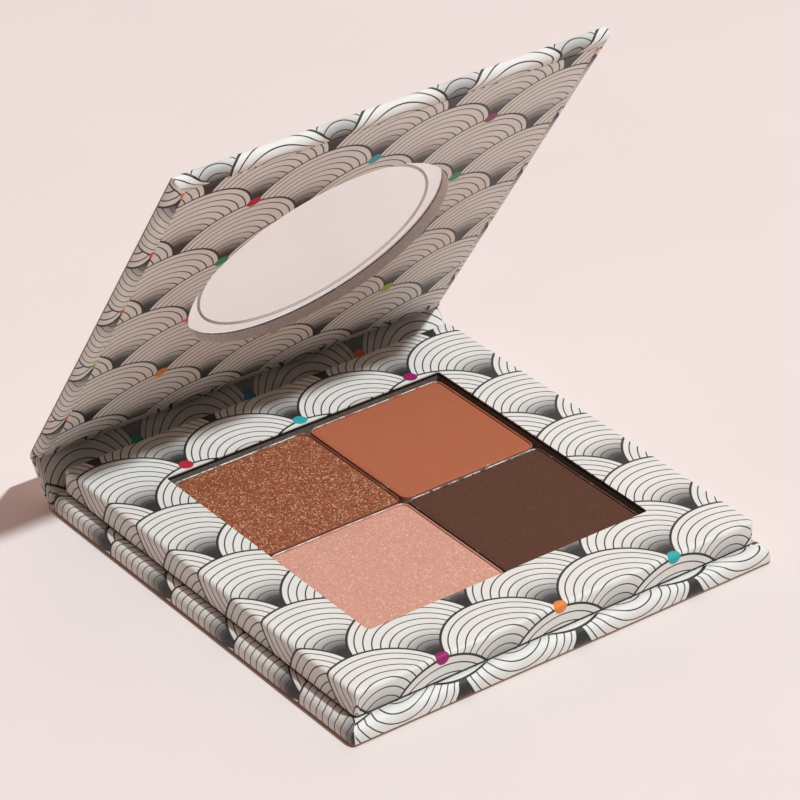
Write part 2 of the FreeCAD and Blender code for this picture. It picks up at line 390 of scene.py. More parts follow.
def lay_mesh(name, loops, papers=None, wear=None, closed=True, ring=False, sharp=35):
    """Mesh object through loops of points.

    Papers are each point's place on its sheet, for the UV map. Wear tells how rubbed the paper is
    there, and past 1 gives it a painted shade colour. Edges that bend by more than the sharp angle,
    in degrees, aren't smoothed.
    """
    points = np.array(loops)
    rows, columns = points.shape[:2]
    faces = grid_faces(rows, columns, closed, ring)
    mesh = bpy.data.meshes.new(name)
    mesh.from_pydata(points.reshape(-1, 3).tolist(), [], faces.tolist())
    if papers is not None:
        places = np.array(papers).reshape(-1, 2) / uv_length + 0.5
        layer = mesh.uv_layers.new(name="paper")
        layer.data.foreach_set("uv", places[faces.reshape(-1)].astype(np.float32).ravel())
    if wear is not None:
        rubbed = np.broadcast_to(wear, (rows, columns)).astype(np.float32).ravel()
        mesh.attributes.new("wear", "FLOAT", "POINT").data.foreach_set("value", rubbed)
    work = bmesh.new()
    work.from_mesh(mesh)
    bmesh.ops.remove_doubles(work, verts=work.verts, dist=weld)
    bmesh.ops.recalc_face_normals(work, faces=work.faces)
    work.to_mesh(mesh)
    work.free()
    mesh.shade_smooth()
    mesh.set_sharp_from_angle(angle=math.radians(sharp))
    piece = bpy.data.objects.new(name, mesh)
    bpy.context.scene.collection.objects.link(piece)
    return piece


def dress(piece, material):
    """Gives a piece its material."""
    piece.data.materials.clear()
    piece.data.materials.append(material)
    return piece


# Materials


class Signal:
    """A value that varies over a surface; arithmetic on it adds Math nodes to its material."""

    def __init__(self, socket):
        self.socket = socket
        self.tree = socket.id_data

    def math(self, operation, *others):
        return math_node(self.tree, operation, self, *others)

    def __add__(self, other):
        return self.math("ADD", other)

    def __sub__(self, other):
        return self.math("SUBTRACT", other)

    def __rsub__(self, other):
        return math_node(self.tree, "SUBTRACT", other, self)

    def __mul__(self, other):
        return self.math("MULTIPLY", other)

    def __truediv__(self, other):
        return self.math("DIVIDE", other)


def feed(slot, value):
    """Links a signal to a socket, or sets the socket's own value."""
    if isinstance(value, Signal):
        slot.id_data.links.new(value.socket, slot)
    else:
        slot.default_value = value


def combined(tree, kind, operation, values):
    """A Math or Vector Math node on signals and constants."""
    node = tree.nodes.new(kind)
    node.operation = operation
    for slot, value in zip(node.inputs, values):
        feed(slot, value)
    return node


def math_node(tree, operation, *values):
    """A Math node on signals and numbers."""
    return Signal(combined(tree, "ShaderNodeMath", operation, values).outputs[0])


def vector_node(tree, operation, *values):
    """A Vector Math node on signals and vectors."""
    return Signal(combined(tree, "ShaderNodeVectorMath", operation, values).outputs["Vector"])


def ranged(signal, low, high, bottom=0.0, top=1.0):
    """A signal eased from one range to another."""
    node = signal.tree.nodes.new("ShaderNodeMapRange")
    node.interpolation_type = "SMOOTHSTEP"
    for slot, value in zip(node.inputs, (signal, low, high, bottom, top)):
        feed(slot, value)
    return Signal(node.outputs[0])


# A Mix node has sockets of one name for each kind of value; these are the colours' places
mix_inputs = (6, 7)
mix_output = 2


def mixed(factor, first, second):
    """A colour between two colours."""
    node = factor.tree.nodes.new("ShaderNodeMix")
    node.data_type = "RGBA"
    feed(node.inputs["Factor"], factor)
    for place, value in zip(mix_inputs, (first, second)):
        feed(node.inputs[place], value if isinstance(value, Signal) else (*value, 1.0))
    return Signal(node.outputs[mix_output])


def toned(shade, share):
    """A colour made darker or lighter."""
    return [min(part * share, 1.0) for part in shade]


def textured(tree, kind, place, output, settings=None, **inputs):
    """A texture node read at a place."""
    node = tree.nodes.new("ShaderNodeTex" + kind)
    for key, value in (settings or {}).items():
        setattr(node, key, value)
    feed(node.inputs["Vector"], place)
    for key, value in inputs.items():
        feed(node.inputs[key], value)
    return Signal(node.outputs[output])


def noise(tree, place, scale, detail=3.0, roughness=0.55):
    """Cloudy noise from 0 to 1."""
    return textured(tree, "Noise", place, "Fac", Scale=scale, Detail=detail, Roughness=roughness)


def object_place(tree, stretch=(1, 1, 1), turn=(0, 0, 0)):
    """Object coordinates in millimetres, turned and stretched."""
    coordinates = tree.nodes.new("ShaderNodeTexCoord")
    mapping = tree.nodes.new("ShaderNodeMapping")
    mapping.inputs["Rotation"].default_value = turn
    mapping.inputs["Scale"].default_value = [part / mm for part in stretch]
    tree.links.new(coordinates.outputs["Object"], mapping.inputs["Vector"])
    return Signal(mapping.outputs["Vector"])


def parted(signal):
    """The three parts of a vector."""
    node = signal.tree.nodes.new("ShaderNodeSeparateXYZ")
    feed(node.inputs[0], signal)
    return [Signal(part) for part in node.outputs]


def paper_place(tree):
    """Place on a sheet in metres, across and up."""
    node = tree.nodes.new("ShaderNodeUVMap")
    node.uv_map = "paper"
    across, up, _ = parted(Signal(node.outputs["UV"]))
    return (across - 0.5) * uv_length, (up - 0.5) * uv_length


def bumped(height, strength, distance, normal=None):
    """A bump from a height in millimetres."""
    node = height.tree.nodes.new("ShaderNodeBump")
    node.inputs["Strength"].default_value = strength
    node.inputs["Distance"].default_value = distance * mm
    feed(node.inputs["Height"], height)
    if normal is not None:
        feed(node.inputs["Normal"], normal)
    return Signal(node.outputs["Normal"])


def new_material(name):
    """A material and its node tree."""
    material = bpy.data.materials.new(name)
    material.use_nodes = True
    return material, material.node_tree


def shaded(material, **inputs):
    """A material whose shader is fed; a socket's name has underscores for spaces."""
    nodes = material.node_tree.nodes
    shader = next(node for node in nodes if node.type == "BSDF_PRINCIPLED")
    for key, value in inputs.items():
        feed(shader.inputs[key.replace("_", " ")], value)
    return material


# Scales of the print, in scale widths: the radius of a scale's disc, the rise from row to row,
# the depth of the foot that a scale's arcs shrink to, below the disc's middle, and the distances
# from the foot between which its smudge fades
disc = 0.5
row_rise = 0.38
foot = 0.26
smudge_ends = (0.08, 0.50)


def front_scale(u, v):
    """Place on the scale that lies in front, counted from the middle of its disc.

    Discs stand in rows, each row shifted by half a width against the next and covering the row
    above it, so the front disc is the lowest one that holds the place.
    """
    first = ((v - disc) / row_rise).math("CEIL")
    places = []
    for step in (0, 1):
        row = first + step
        shifted = u - row.math("FLOORED_MODULO", 2.0) * 0.5
        places.append((shifted - shifted.math("ROUND"), v - row * row_rise))
    (across, up), (next_across, next_up) = places
    holds = (across * across + up * up).math("LESS_THAN", disc**2)
    return next_across + holds * (across - next_across), next_up + holds * (up - next_up)


def scale_ink(settings, u, v):
    """Ink of the scales, from 0 to 1.

    A scale's arcs are its rim shrunk towards its foot by shares t, so a place (x, a), counted from
    the foot, lies on the arc whose t solves x² + (a - t foot)² = (t disc)².
    """
    width = settings.scale_width
    across, up = front_scale(u, v)
    above = up + foot
    spread = disc**2 - foot**2
    far = across * across + above * above
    root = (above * above * foot**2 + far * spread).math("SQRT")
    share = (root - above * foot) / spread
    stretch = ((above - share * foot) * foot + share * disc**2) / (share * disc) * width
    steps = share * float(settings.arcs)
    off_line = (steps.math("FRACT") - 0.5).math("ABSOLUTE")
    gap = (0.5 - off_line) * stretch / float(settings.arcs)
    half, rim = settings.line_width / 2, settings.rim_width
    lines = ranged(gap, half * 0.7, half * 1.3, 1.0, 0.0)
    border = ranged((1.0 - share) * stretch, rim * 0.8, rim * 1.1, 1.0, 0.0)
    smudge = ranged(far.math("SQRT"), *smudge_ends, 1.0, 0.0)
    return lines.math("MAXIMUM", border).math("MAXIMUM", smudge * smudge)


# Colours of the dots on the print
dot_colours = (
    (0.30, 0.008, 0.12),
    (0.80, 0.085, 0.25),
    (0.34, 0.50, 0.03),
    (0.03, 0.38, 0.38),
    (0.80, 0.24, 0.045),
    (0.76, 0.085, 0.025),
    (0.045, 0.17, 0.33),
    (0.02, 0.28, 0.12),
    (0.48, 0.02, 0.05),
)


def dots(settings, u, v):
    """Dots at the feet of every other row of scales: their cover, 0 to 1, and their colours."""
    rise = 2 * row_rise
    column, row = u.math("ROUND"), ((v + foot) / rise).math("ROUND")
    across, up = u - column, v + foot - row * rise
    distance = (across * across + up * up).math("SQRT") * settings.scale_width
    cell = u.tree.nodes.new("ShaderNodeCombineXYZ")
    feed(cell.inputs[0], column + 0.37)
    feed(cell.inputs[1], row + 0.71)
    flat = {"noise_dimensions": "2D"}
    chance = textured(u.tree, "WhiteNoise", Signal(cell.outputs[0]), "Value", flat)
    ramp = u.tree.nodes.new("ShaderNodeValToRGB")
    ramp.color_ramp.interpolation = "CONSTANT"
    for _ in dot_colours[2:]:
        ramp.color_ramp.elements.new(0.5)
    for index, shade in enumerate(dot_colours):
        ramp.color_ramp.elements[index].position = index / len(dot_colours)
        ramp.color_ramp.elements[index].color = (*shade, 1.0)
    feed(ramp.inputs[0], chance)
    radius = settings.dot_radius
    return ranged(distance, radius * 0.94, radius * 1.06, 1.0, 0.0), Signal(ramp.outputs[0])


def printed_paper(settings):
    """Coated paper printed with scales, each with arcs that crowd and darken towards its foot."""
    material, tree = new_material("scale_print")
    u, v = (part / settings.scale_width for part in paper_place(tree))
    cover, dye = dots(settings, u, v)
    place = object_place(tree)
    cloud = noise(tree, place, 0.22, 4.0)
    fibre = noise(tree, place, 5.0, 2.0)
    pale = settings.sheet_colour
    sheet = mixed(ranged(cloud, 0.3, 0.7), pale, toned(pale, 0.955))
    printed = mixed(scale_ink(settings, u, v), sheet, settings.ink_colour)
    dyed = mixed(cover, printed, dye)
    edge = tree.nodes.new("ShaderNodeAttribute")
    edge.attribute_name = "wear"
    wear = Signal(edge.outputs["Fac"])
    worn = mixed(ranged(wear + fibre * 0.4, 0.55, 0.95), dyed, settings.worn_colour)
    return shaded(
        material,
        # Wear past 1 mixes in a dark colour: painted shade in the groove at the tray's foot
        Base_Color=mixed(ranged(wear, 1.0, groove_shade_wear), worn, settings.groove_shade_colour),
        Roughness=ranged(fibre, 0.2, 0.8, 0.40, 0.52),
        Specular_IOR_Level=0.35,
        Normal=bumped(fibre, 0.10, 0.02),
    )


def grey_board():
    """Grey board: recycled fibres in layers, with paler flecks."""
    material, tree = new_material("board_fibre")
    lid_turn = math.pi - spine_open - lid_open
    layers = noise(tree, object_place(tree, (0.6, 0.6, 9.0), (lid_turn, 0, 0)), 1.0, 5.0, 0.65)
    flecks = noise(tree, object_place(tree), 3.2, 4.0, 0.7)
    dark, pale, fleck = (0.70, 0.62, 0.555), (0.90, 0.84, 0.785), (0.94, 0.90, 0.86)
    base = mixed(ranged(layers, 0.3, 0.7), dark, pale)
    return shaded(
        material,
        Base_Color=mixed(ranged(flecks, 0.52, 0.72, 0.0, 0.6), base, fleck),
        Roughness=0.85,
        Specular_IOR_Level=0.2,
        Normal=bumped(layers + flecks, 0.6, 0.08),
    )


def well_board(band):
    """Wall of the well: black along its top, brown and fibrous below."""
    material, tree = new_material("well_cut")
    fibres = noise(tree, object_place(tree, (1.0, 1.0, 3.5)), 2.4, 5.0, 0.7)
    _, _, height = parted(object_place(tree))
    level = height + (fibres - 0.5) * 0.25
    browns = (0.14, 0.102, 0.078), (0.34, 0.26, 0.205)
    blacks = (0.012, 0.008, 0.006), (0.05, 0.036, 0.028)
    brown = mixed(ranged(fibres, 0.35, 0.7), *browns)
    black = mixed(ranged(fibres, 0.45, 0.75), *blacks)
    return shaded(
        material,
        Base_Color=mixed(ranged(level, band / mm - 0.08, band / mm + 0.08), brown, black),
        Roughness=ranged(fibres, 0.3, 0.7, 0.6, 0.8),
        Specular_IOR_Level=0.2,
        Normal=bumped(fibres, 0.4, 0.05),
    )


def magnet_rubber():
    """Dark magnetic sheet, faintly striped where it was rolled."""
    material, tree = new_material("rolled_magnet")
    grain = noise(tree, object_place(tree, (0.4, 4.0, 1.0)), 2.0, 4.0)
    blacks = (0.014, 0.012, 0.011), (0.03, 0.026, 0.024)
    return shaded(
        material,
        Base_Color=mixed(ranged(grain, 0.3, 0.7), *blacks),
        Roughness=ranged(grain, 0.3, 0.7, 0.45, 0.65),
        Normal=bumped(grain, 0.25, 0.03),
    )


def nickel():
    """Plated closure magnets with fine turning marks."""
    material, tree = new_material("nickel_plate")
    marks = noise(tree, object_place(tree, (1.0, 6.0, 1.0)), 3.0, 3.0)
    greys = (0.58, 0.54, 0.49), (0.68, 0.65, 0.60)
    return shaded(
        material,
        Base_Color=mixed(marks, *greys),
        Metallic=1.0,
        Roughness=ranged(marks, 0.3, 0.7, 0.22, 0.36),
        Normal=bumped(marks, 0.1, 0.01),
    )


def clear_film(settings):
    """Clear film with a light veil and fine scuffs, and a plain thin ring printed on it.

    Lamps that strike it at a slant are mostly thrown back, so they cast a shadow there.
    """
    material, tree = new_material("veiled_film")
    scuffs = noise(tree, object_place(tree, (0.5, 4.0, 4.0), (0.4, 0.0, 0.6)), 1.4, 4.0, 0.7)
    x, y = paper_place(tree)
    x, y = x - float(well_centre[0]), y - float(well_centre[1])
    off_ring = ((x * x + y * y).math("SQRT") - settings.ring_radius).math("ABSOLUTE")
    half = settings.ring_width / 2
    ring = ranged(off_ring, half * 0.85, half * 1.15, 1.0, 0.0)
    pale = settings.film_colour
    film = mixed(ranged(scuffs, 0.5, 0.8), pale, toned(pale, 0.97))
    veil = ranged(scuffs, 0.35, 0.75, settings.veil * 0.94, settings.veil * 1.06)
    lamp_ray = Signal(tree.nodes.new("ShaderNodeLightPath").outputs["Is Shadow Ray"])
    thrown_back = Signal(tree.nodes.new("ShaderNodeFresnel").outputs["Fac"]) * lamp_ray
    return shaded(
        material,
        Base_Color=mixed(ring, film, settings.ring_colour),
        Roughness=ranged(scuffs, 0.3, 0.7, 0.16, 0.22),
        Alpha=veil + ring * 0.55 + thrown_back,
    )


def dusted_tin(name, tin, powder, high):
    """Drawn tin with fine scratches; powder clings to the rim, in patches along the back."""
    material, tree = new_material(name)
    place = object_place(tree)
    scratches = noise(tree, object_place(tree, (1.0, 1.0, 8.0)), 2.6, 4.0, 0.65)
    patches = noise(tree, place, 0.55, 5.0, 0.75)
    _, depth, height = parted(place)
    _, back, rim = high / mm
    near_rim = ranged(height, rim - 1.3, rim - 0.6, 0.08, 1.0)
    near_back = ranged(depth, back - 0.9, back - 0.4, -0.06, 0.10)
    dust = ranged(patches - near_back, 0.31, 0.51) * near_rim
    metal = mixed(scratches, toned(tin, 0.86), tin)
    return shaded(
        material,
        Base_Color=mixed(dust, metal, toned(powder, 0.9)),
        Metallic=1.0 - dust,
        Roughness=ranged(scratches, 0.3, 0.7, 0.2, 0.36) + dust * 0.4,
        Normal=bumped(scratches, 0.15, 0.02),
    )


def pressed_powder(name, base, look):
    """Pressed powder: fine grain, a cloth's press mark and flecks that lie at their own angles."""
    material, tree = new_material(name)
    place = object_place(tree)
    fine = noise(tree, place, 4.5, 4.0, 0.7)
    broad = noise(tree, place, 0.16, 3.0)
    cells = {"voronoi_dimensions": "3D", "feature": "F1"}
    chance = textured(tree, "Voronoi", place, "Color", cells, Scale=look["flecks_per_mm"])
    odds, brightness, _ = parted(chance)
    lit = ranged(odds, 1.0 - look["share"], 1.0 - look["share"] * 0.8)
    grain = look["grain"]
    tone = mixed(ranged(fine, 0.3, 0.7), toned(base, 1 - grain), toned(base, 1 + grain))
    tone = mixed(ranged(broad, 0.35, 0.65, 0.0, 0.25), tone, toned(base, 0.9))
    spark = mixed(brightness.math("POWER", 4.0), toned(base, look["dull"]), look["fleck"])
    normal = Signal(tree.nodes.new("ShaderNodeNewGeometry").outputs["Normal"])
    lean = vector_node(tree, "SUBTRACT", chance, (0.5, 0.5, 0.5))
    lean = vector_node(tree, "MULTIPLY", lean, (look["lean"],) * 3)
    leaning = vector_node(tree, "NORMALIZE", vector_node(tree, "ADD", normal, lean))
    ribs = object_place(tree, turn=(0, 0, math.radians(38)))
    bands = {"wave_type": "BANDS"}
    press = textured(tree, "Wave", ribs, "Fac", bands, Scale=0.9, Distortion=0.6, Detail=1.0)
    return shaded(
        material,
        Base_Color=mixed(lit, tone, spark),
        Metallic=lit * look["metal"],
        Roughness=lit * (look["metal"] * -2.5) + 0.8,
        Specular_IOR_Level=0.25,
        Normal=bumped(fine + press * look["press"], 0.35, 0.05, leaning),
    )


def floor_paper(settings):
    """Smooth pale paper under the object."""
    material, tree = new_material("floor_paper")
    cloud = noise(tree, object_place(tree), 0.02, 3.0)
    grain = noise(tree, object_place(tree), 1.6, 3.0)
    pale = settings.floor_colour
    return shaded(
        material,
        Base_Color=mixed(ranged(cloud, 0.3, 0.7), pale, toned(pale, 0.985)),
        Roughness=0.8,
        Specular_IOR_Level=0.15,
        Normal=bumped(grain, 0.06, 0.05),
    )


def shared_material(name, make, *values):
    """A material made once and used by several pieces."""
    return bpy.data.materials.get(name) or make(*values)


def bare_place(paper):
    """A place on the sheet between two arcs of a scale, where nothing is printed."""
    up = row_rise + (disc + foot) * (1 - 0.5 / paper.arcs) - foot
    return np.array([0.5, up]) * paper.scale_width


def paper_of(scene):
    """The printed paper that all the wrapped pieces share."""
    return shared_material("scale_print", printed_paper, scene.palette_paper)


def fibre_board():
    """The grey board that all the boards share."""
    return shared_material("board_fibre", grey_board)


# Pieces


def panel_outline(case, inset=0.0):
    """Outline of a wrapped panel, from its front edge to the paper over the board's back edge."""
    back = np.array([panel_high[0], board_back + case.back_cover])
    return outline(panel_low, back, case.corner_radius, inset)


def rubbed_edge(way, radius):
    """Wear along a rounded edge: 1 on the edge, 0 from a short way past it."""
    crest = math.pi / 4 * radius
    worst, reach = 1.1 * crest, 1.6
    return np.clip(reach - np.abs(way - worst) / crest, 0, 1)


def paper_skin(case, paper, height, inner_radius, inner, seed, shift, front_wear):
    """Paper that covers a panel's outer face from an inner outline and turns in round its edges.

    The section at the free edges is rounded; towards the fold it turns into a nearly square one.
    The sides are rubbed, and the front as much as it is told. Gives its loops, their places on the
    sheet, which is shifted by millimetres, and their wear.
    """
    rim, normals = panel_outline(case)
    back = np.clip(normals[:, 1:], 0, 1) ** 2
    rubbed = normals[:, 0] ** 2 + front_wear * np.clip(-normals[:, 1], 0, 1) ** 2
    waver = wander(len(rim), seed)[:, None] * case.unevenness
    end = case.lining_inset
    free_skins = wrapped_profile(case.outer_radius, inner_radius, height, end, paper.paper)
    back_skins = wrapped_profile(case.back_radius, case.back_radius, height, end, paper.paper)
    free_start, _ = panel_outline(case, case.outer_radius)
    back_start, _ = panel_outline(case, case.back_radius)
    start = free_start + back * (back_start - free_start)
    shares = (0, 0.02, 0.5, 0.97)
    loops = flats(inner, start, 0.0, shares)
    papers = plans(loops)
    wear = [np.zeros(len(rim))] * len(loops)
    for free_rows, back_rows, order in zip(free_skins, back_skins, (1, -1)):
        ways = along(free_rows[::order])[::order]
        for (inset, z), (back_inset, back_z), way in zip(free_rows, back_rows, ways):
            free_points, _ = panel_outline(case, inset)
            back_points, _ = panel_outline(case, back_inset)
            firm = np.clip(1 - inset / end, 0, 1)
            points = free_points + back * (back_points - free_points) - normals * waver * firm
            loops.append(raised(points, z + back[:, 0] * (back_z - z)))
            papers.append(rim + normals * (way - case.outer_radius))
            wear.append(rubbed_edge(way, case.outer_radius) * rubbed)
    under = flats(inner, start, paper.paper, shares)[::-1]
    papers += plans(under)
    wear += [np.zeros(len(rim))] * len(under)
    return loops + under, np.array(papers) + np.array(shift) * mm, np.array(wear)


class PALETTE_OT_base(bpy.types.Operator):
    """Wrap the base board in printed paper"""

    bl_idname = "palette.base"
    bl_label = "Base"
    bl_options = {"REGISTER", "UNDO"}

    def execute(self, context):
        case, paper = context.scene.palette_case, context.scene.palette_paper
        sheet = paper_of(context.scene)
        rim, _ = panel_outline(case)
        height, inner_radius = panel_high[2], case.base_inner_radius
        print_shift = (8.5, 13.4)
        middle = middle_of(rim)
        skin = paper_skin(
            case, paper, height, inner_radius, middle, seed=3, shift=print_shift, front_wear=1.0
        )
        cover = lay_mesh("base_cover", *skin)
        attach(dress(cover, sheet), "base")
        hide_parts("base_wrap")
        edge, _ = panel_outline(case, case.lining_inset)
        low, middle = height - paper.paper, middle_of(edge)
        sheets = [raised(middle, low), raised(edge, low)]
        sheets += [raised(edge, height), raised(middle, height)]
        lining = lay_mesh("base_lining", sheets, plans(sheets))
        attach(dress(lining, sheet), "base")
        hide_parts("base_liner")
        for name in ("base_board", "tray_frame"):
            dress(frame["nodes"][name], fibre_board())
        return {"FINISHED"}


class PALETTE_OT_lid(bpy.types.Operator):
    """Wrap the lid, line it with card and cut its round window"""

    bl_idname = "palette.lid"
    bl_label = "Lid"
    bl_options = {"REGISTER", "UNDO"}

    def execute(self, context):
        case, paper = context.scene.palette_case, context.scene.palette_paper
        sheet = paper_of(context.scene)
        rim, _ = panel_outline(case)
        hole = circle_towards(well_centre, context.scene.palette_window.radius, rim)
        height, inner_radius = case.lid_wrap_height, case.lid_inner_radius
        loops, papers, wear = paper_skin(
            case, paper, height, inner_radius, hole, seed=7, shift=(0.0, 0.0), front_wear=0.0
        )
        cut = [raised(hole, paper.paper), raised(hole, 0.0)]
        bare = np.broadcast_to(bare_place(paper), (len(cut), len(hole), 2))
        loops, papers = loops + cut, np.concatenate([papers, bare])
        wear = np.concatenate([wear, np.zeros((len(cut), len(hole)))])
        cover = lay_mesh("lid_cover", opened_lid(np.array(loops)), papers, wear, ring=True)
        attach(dress(cover, sheet), "lid")
        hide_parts("lid_wrap")

        ease = case.lining_ease
        edge, _ = panel_outline(case, case.lining_inset)
        eased, _ = panel_outline(case, case.lining_inset + ease)
        low, high = case.lid_height - case.lining, case.lid_height
        shares = (0, 0.02, 0.5, 0.98, 1)
        card = flats(hole, edge, low, shares) + [raised(edge, high - ease)]
        card += flats(hole, eased, high, shares)[::-1]
        papers = np.array(plans(card)) * np.array([1, -1])
        card += [raised(hole, high), raised(hole, low)]
        papers = np.concatenate([papers, bare])
        lining = lay_mesh("lid_lining", opened_lid(np.array(card)), papers, ring=True)
        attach(dress(lining, sheet), "lid")
        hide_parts("lid_liner")
        dress(frame["nodes"]["lid_board"], fibre_board())
        return {"FINISHED"}


class PALETTE_OT_window(bpy.types.Operator):
    """Close the window with clear film and roughen the cut edge of its board"""

    bl_idname = "palette.window"
    bl_label = "Window"
    bl_options = {"REGISTER", "UNDO"}

    def execute(self, context):
        scene = context.scene
        self.film(scene.palette_paper, scene.palette_window)
        self.edge(scene.palette_case, scene.palette_paper, scene.palette_window)
        return {"FINISHED"}

    def film(self, paper, window):
        """Flat disc of two faces: rings that swell in lobes, by the sine of radius and of turn."""
        rays, turn = spokes(film_steps)
        lobes = np.abs(np.sin(1.5 * turn))
        held = np.linspace(window.radius, window.film_radius, 4)
        reach = np.concatenate([np.linspace(0, window.radius, 30), held[1:]])
        loops = []
        for face, radii in ((paper.paper, reach), (paper.paper + window.film, reach[::-1])):
            for radius in radii:
                crown = np.sin(np.pi * min(radius / window.radius, 1))
                swell = window.swell * crown * lobes
                loops.append(raised(well_centre + radius * rays, face + swell))
        sheet = lay_mesh("window_sheet", opened_lid(np.array(loops)), plans(loops))
        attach(dress(sheet, clear_film(window)), "lid")
        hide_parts("window_film")

    def edge(self, case, paper, window):
        """Wall of the cut-out: rings up the board's edge, each drawn in by its own run of fibres.

        The fibres are the mean of three random lengths, and shorter next to the film and the card.
        """
        rays, _ = spokes(cut_steps)
        heights = np.linspace(paper.paper + window.film, case.lid_height - case.lining, 9)
        fuzz = np.random.RandomState(11).uniform(0.25, 1.0, (len(heights), cut_steps))
        fuzz = (fuzz + np.roll(fuzz, 1, 1) + np.roll(fuzz, 2, 1)) / 3
        fuzz[[0, -1]] *= 0.3
        radii = window.radius - window.fibre * fuzz[:, :, None]
        wall = [raised(well_centre + radius * rays, z) for radius, z in zip(radii, heights)]
        sunk = well_centre + (window.radius + window.seat) * rays
        back = [raised(sunk, z) for z in heights[[-1, 0]]]
        ring = lay_mesh("window_edge", opened_lid(np.array(wall + back)), ring=True)
        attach(dress(ring, fibre_board()), "lid")


class PALETTE_OT_spine(bpy.types.Operator):
    """Wrap the spine and fold the paper between base, spine and lid"""

    bl_idname = "palette.spine"
    bl_label = "Spine and folds"
    bl_options = {"REGISTER", "UNDO"}

    def execute(self, context):
        scene = context.scene
        self.cover(scene)
        base_turn, lid_turn = math.pi / 2 - spine_open, math.pi / 2 - lid_open
        base_way, lid_way = board_back, board_back + spine_height
        self.fold(scene, "base_fold", ("base", "spine"), base_axis, 0.0, base_turn, base_way)
        self.fold(
            scene, "lid_fold", ("spine", "lid"), lid_axis_open, base_turn, lid_turn, lid_way
        )
        return {"FINISHED"}

    def cover(self, scene):
        """Spine in its paper: one rounded outline in plan, carried up from fold to fold."""
        case = scene.palette_case
        back = base_axis[1] + fold_radius
        low = np.array([panel_low[0], back - case.spine_thickness])
        high = np.array([panel_high[0], back])
        rim, normals = outline(low, high, case.spine_radius)
        inner, _ = outline(low, high, case.spine_radius, case.spine_cap)
        heights = np.linspace(fold_radius, fold_radius + spine_height, 9)
        loops = [raised(middle_of(rim), heights[0]), raised(inner, heights[0])]
        loops += [raised(rim, z) for z in heights]
        loops += [raised(inner, heights[-1]), raised(middle_of(rim), heights[-1])]
        shift = case.spine_shift * np.clip(-normals[:, 1], 0, 1)
        x, y, z = np.moveaxis(np.array(loops), -1, 0)
        papers = np.stack([x + normals[:, 0] * (back - y), z + back + shift], -1)
        piece = lay_mesh("spine_cover", opened_spine(np.array(loops)), papers)
        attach(dress(piece, paper_of(scene)), "spine")
        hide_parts("spine_wrap", "spine_liner")
        dress(frame["nodes"]["spine_board"], fibre_board())

    def fold(self, scene, node, bodies, axis, first, sweep, sheet_start):
        """Paper bent round a fold line: a flat tube across the case, swept by an angle about it.

        The angle a is counted from straight down towards the back, so a place is the axis plus its
        radius times (sin a, -cos a). A flat apron joins it to the panel. The paper is doubled by a
        hem near the case's sides, and its ends are rounded off, where the points crowd.
        """
        case, paper = scene.palette_case, scene.palette_paper
        half = panel_high[0] - case.fold_end
        shares = [np.linspace(0, 0.9, 40), 1 - np.geomspace(0.1, 1e-3, 24), [1]]
        across = np.concatenate(shares) * half
        across = np.concatenate([-across[:0:-1], across])
        off_end = half - np.abs(across)
        bend = case.outer_radius
        eased = np.clip(1 - off_end / bend, 0, 1)
        outer = fold_radius - bend * (1 - np.sqrt(1 - eased**2))
        hemmed = np.clip((case.hem - off_end) / (2 * paper.paper) + 0.5, 0, 1)
        thin = fold_radius - 2 * paper.paper
        inner = thin - hemmed * (thin - paper.paper)
        x = np.concatenate([across, across[::-1]])
        radius = np.concatenate([outer, inner[::-1]])
        shut = np.concatenate([(outer + inner) / 2, (outer + inner)[::-1] / 2])

        reach = base_axis[1] - board_back - paper.paper
        angles = first + np.linspace(0, sweep, 15)
        stations = [(turn, 0.0) for turn in angles]
        if bodies[0] == "base":
            stations = [(first, -reach)] + stations
        if bodies[1] == "lid":
            stations = stations + [(first + sweep, reach)]
        rings = [(station, radius) for station in stations]
        rings = [(stations[0], shut)] + rings + [(stations[-1], shut)]
        loops, papers = [], []
        for (turn, ahead), radii in rings:
            y = axis[1] + radii * math.sin(turn) + ahead * math.cos(turn)
            z = axis[2] - radii * math.cos(turn) + ahead * math.sin(turn)
            loops.append(np.column_stack([x, y, z]))
            way = sheet_start + fold_radius * (turn - first) + ahead
            papers.append(np.column_stack([x, np.full(len(x), way)]))
        piece = lay_mesh(node + "_paper", loops, papers)
        dress(piece, paper_of(scene))
        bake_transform(piece)
        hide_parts(node)


